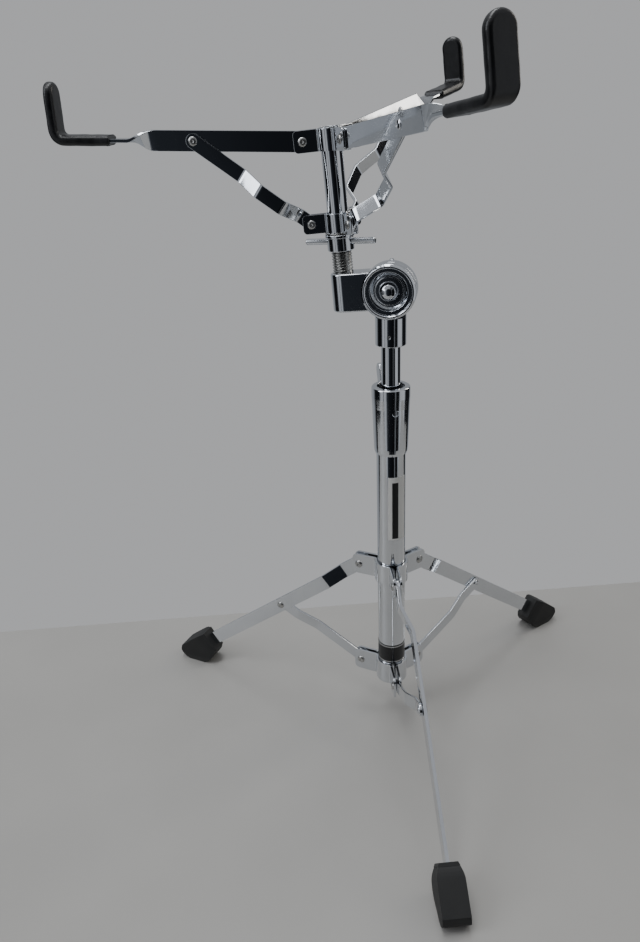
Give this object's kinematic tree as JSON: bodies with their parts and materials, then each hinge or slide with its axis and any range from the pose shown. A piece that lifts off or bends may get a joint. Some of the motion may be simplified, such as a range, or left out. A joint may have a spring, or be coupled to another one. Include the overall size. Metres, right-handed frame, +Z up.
{
  "type": "snare drum stand",
  "caption": "Folding chromed stand with a tripod base, a height tube, a tilting head and a three-arm basket with vinyl-covered fingers.",
  "frame": {"origin": "centre of the bounding box on the floor plane, the stand as pictured and resting on its three feet", "axes": "+Z up, the front leg along -Y, +X to the right of a viewer who faces the front leg"},
  "size_m": [0.4626, 0.407, 0.605],
  "materials": {
    "chrome": "bright chromium plate, mirror polished",
    "zinc": "bright zinc-plated steel, slightly dull",
    "rubber": "moulded black rubber, matt",
    "vinyl": "dipped soft black vinyl, satin gloss",
    "nylon": "black nylon, satin",
    "badge": "printed black foil, gloss",
    "paper": "white label film, matt"
  },
  "bodies": {
    "base": {"base_tube": "chrome", "badge_band": "badge", "label_sticker": "paper", "lower_leg_collar": "chrome", "height_clamp": "chrome", "brace_rivet_front": "zinc", "brace_rivet_right": "zinc", "brace_rivet_left": "zinc"},
    "leg_slider": {"upper_leg_collar": "chrome", "leg_rivet_front": "zinc", "leg_rivet_right": "zinc", "leg_rivet_left": "zinc"},
    "leg_slider_bolt": {"leg_collar_wing_bolt": "chrome"},
    "clamp_bolt": {"clamp_wing_bolt": "chrome"},
    "swivel_bush": {"nylon_bush": "nylon"},
    "mast": {"upper_tube": "chrome", "tilter_socket": "chrome", "socket_pin": "zinc"},
    "head": {"tilter_head": "chrome", "tilter_bolt": "chrome", "threaded_rod": "zinc", "basket_tube": "chrome", "basket_upper_collar": "chrome", "arm_rivet_left": "zinc", "arm_rivet_front": "zinc", "arm_rivet_back": "zinc"},
    "tilt_nut": {"tilter_wing_nut": "chrome"},
    "washer": {"nut_washer": "zinc"},
    "tee_nut": {"t_nut": "chrome", "t_nut_pin_left": "chrome", "t_nut_pin_right": "chrome"},
    "basket_slider": {"basket_lower_collar": "chrome", "arm_brace_rivet_left": "zinc", "arm_brace_rivet_front": "zinc", "arm_brace_rivet_back": "zinc"},
    "leg_front": {"leg_front": "chrome", "foot_front": "rubber", "leg_joint_rivet_front": "zinc"},
    "leg_brace_front": {"leg_brace_front": "chrome"},
    "leg_right": {"leg_right": "chrome", "foot_right": "rubber", "leg_joint_rivet_right": "zinc"},
    "leg_brace_right": {"leg_brace_right": "chrome"},
    "leg_left": {"leg_left": "chrome", "foot_left": "rubber", "leg_joint_rivet_left": "zinc"},
    "leg_brace_left": {"leg_brace_left": "chrome"},
    "arm_left": {"arm_left": "chrome", "sleeve_left": "vinyl"},
    "arm_brace_left": {"arm_brace_left": "chrome", "arm_joint_rivet_left": "zinc"},
    "arm_front": {"arm_front": "chrome", "sleeve_front": "vinyl"},
    "arm_brace_front": {"arm_brace_front": "chrome", "arm_joint_rivet_front": "zinc"},
    "arm_back": {"arm_back": "chrome", "sleeve_back": "vinyl"},
    "arm_brace_back": {"arm_brace_back": "chrome", "arm_joint_rivet_back": "zinc"}
  },
  "joints": [
    {"name": "leg_fold_slide", "type": "slide", "parent": "base", "child": "leg_slider", "axis": [0, 0, 1], "range_m": [0, 0.08]},
    {"name": "leg_front_fold", "type": "hinge", "parent": "leg_slider", "child": "leg_front", "pos_m": [0.01887, 0.00967, 0.161], "axis": [1, 0, 0], "range_deg": [0, 33.03]},
    {"name": "leg_brace_front_fold", "type": "hinge", "parent": "base", "child": "leg_brace_front", "pos_m": [0.01887, 0.00967, 0.0495], "axis": [-1, 0, 0], "range_deg": [0, 39.7]},
    {"name": "leg_right_fold", "type": "hinge", "parent": "leg_slider", "child": "leg_right", "pos_m": [0.04572, 0.05617, 0.161], "axis": [-0.5, 0.866, 0], "range_deg": [0, 33.03]},
    {"name": "leg_brace_right_fold", "type": "hinge", "parent": "base", "child": "leg_brace_right", "pos_m": [0.04572, 0.05617, 0.0495], "axis": [0.5, -0.866, 0], "range_deg": [0, 39.7]},
    {"name": "leg_left_fold", "type": "hinge", "parent": "leg_slider", "child": "leg_left", "pos_m": [-0.00797, 0.05617, 0.161], "axis": [-0.5, -0.866, 0], "range_deg": [0, 33.03]},
    {"name": "leg_brace_left_fold", "type": "hinge", "parent": "base", "child": "leg_brace_left", "pos_m": [-0.00797, 0.05617, 0.0495], "axis": [0.5, 0.866, 0], "range_deg": [0, 39.7]},
    {"name": "leg_slider_bolt_turn", "type": "hinge", "parent": "leg_slider", "child": "leg_slider_bolt", "pos_m": [0.01887, 0.07067, 0.161], "axis": [0, 1, 0], "continuous": true},
    {"name": "clamp_bolt_turn", "type": "hinge", "parent": "base", "child": "clamp_bolt", "pos_m": [0.01626, 0.06553, 0.318], "axis": [-0.1045, 0.9945, 0], "continuous": true},
    {"name": "mast_swivel", "type": "hinge", "parent": "base", "child": "swivel_bush", "pos_m": [0.01887, 0.04067, 0.32], "axis": [0, 0, 1], "continuous": true},
    {"name": "mast_height", "type": "slide", "parent": "swivel_bush", "child": "mast", "axis": [0, 0, 1], "range_m": [-0.03, 0.13]},
    {"name": "basket_tilt", "type": "hinge", "parent": "mast", "child": "head", "pos_m": [0.01887, 0.04067, 0.419], "axis": [0.2756, 0.9613, 0], "range_deg": [-10, 93]},
    {"name": "tilt_nut_turn", "type": "hinge", "parent": "head", "child": "tilt_nut", "pos_m": [0.01887, 0.04067, 0.419], "axis": [0.2756, 0.9613, 0], "continuous": true},
    {"name": "tee_nut_travel", "type": "slide", "parent": "head", "child": "washer", "axis": [-0.0737, -0.0424, 0.9964], "range_m": [-0.011, 0]},
    {"name": "tee_nut_turn", "type": "hinge", "parent": "washer", "child": "tee_nut", "pos_m": [-0.0195, 0.04399, 0.45675], "axis": [-0.0737, -0.0424, 0.9964], "range_deg": [-1801, 0]},
    {"name": "basket_fold_slide", "type": "slide", "parent": "head", "child": "basket_slider", "axis": [-0.0737, -0.0424, 0.9964], "range_m": [0, 0.033]},
    {"name": "arm_left_fold", "type": "hinge", "parent": "head", "child": "arm_left", "pos_m": [-0.04504, 0.04438, 0.52814], "axis": [0.1664, 0.9846, 0.0542], "range_deg": [0, 61.79]},
    {"name": "arm_brace_left_fold", "type": "hinge", "parent": "basket_slider", "child": "arm_brace_left", "pos_m": [-0.04074, 0.04686, 0.46996], "axis": [0.1664, 0.9846, 0.0542], "range_deg": [0, 33.4]},
    {"name": "arm_front_fold", "type": "hinge", "parent": "head", "child": "arm_front", "pos_m": [-0.01776, 0.02168, 0.5292], "axis": [-0.9348, -0.3452, -0.0838], "range_deg": [0, 61.79]},
    {"name": "arm_brace_front_fold", "type": "hinge", "parent": "basket_slider", "child": "arm_brace_front", "pos_m": [-0.01345, 0.02415, 0.47101], "axis": [-0.9348, -0.3452, -0.0838], "range_deg": [0, 33.4]},
    {"name": "arm_back_fold", "type": "hinge", "parent": "head", "child": "arm_back", "pos_m": [-0.01185, 0.05664, 0.53112], "axis": [0.7683, -0.6393, 0.0297], "range_deg": [0, 61.79]},
    {"name": "arm_brace_back_fold", "type": "hinge", "parent": "basket_slider", "child": "arm_brace_back", "pos_m": [-0.00754, 0.05911, 0.47293], "axis": [0.7683, -0.6393, 0.0297], "range_deg": [0, 33.4]}
  ],
  "couplings": [
    {"joint": "leg_front_fold", "follows": "leg_fold_slide", "rad_per_m": 7.2034},
    {"joint": "leg_brace_front_fold", "follows": "leg_fold_slide", "rad_per_m": 8.6581},
    {"joint": "leg_right_fold", "follows": "leg_fold_slide", "rad_per_m": 7.2034},
    {"joint": "leg_brace_right_fold", "follows": "leg_fold_slide", "rad_per_m": 8.6581},
    {"joint": "leg_left_fold", "follows": "leg_fold_slide", "rad_per_m": 7.2034},
    {"joint": "leg_brace_left_fold", "follows": "leg_fold_slide", "rad_per_m": 8.6581},
    {"joint": "tee_nut_turn", "follows": "tee_nut_travel", "rad_per_m": 2856},
    {"joint": "arm_left_fold", "follows": "basket_fold_slide", "rad_per_m": 32.674},
    {"joint": "arm_brace_left_fold", "follows": "basket_fold_slide", "rad_per_m": 17.657},
    {"joint": "arm_front_fold", "follows": "basket_fold_slide", "rad_per_m": 32.674},
    {"joint": "arm_brace_front_fold", "follows": "basket_fold_slide", "rad_per_m": 17.657},
    {"joint": "arm_back_fold", "follows": "basket_fold_slide", "rad_per_m": 32.674},
    {"joint": "arm_brace_back_fold", "follows": "basket_fold_slide", "rad_per_m": 17.657}
  ]
}
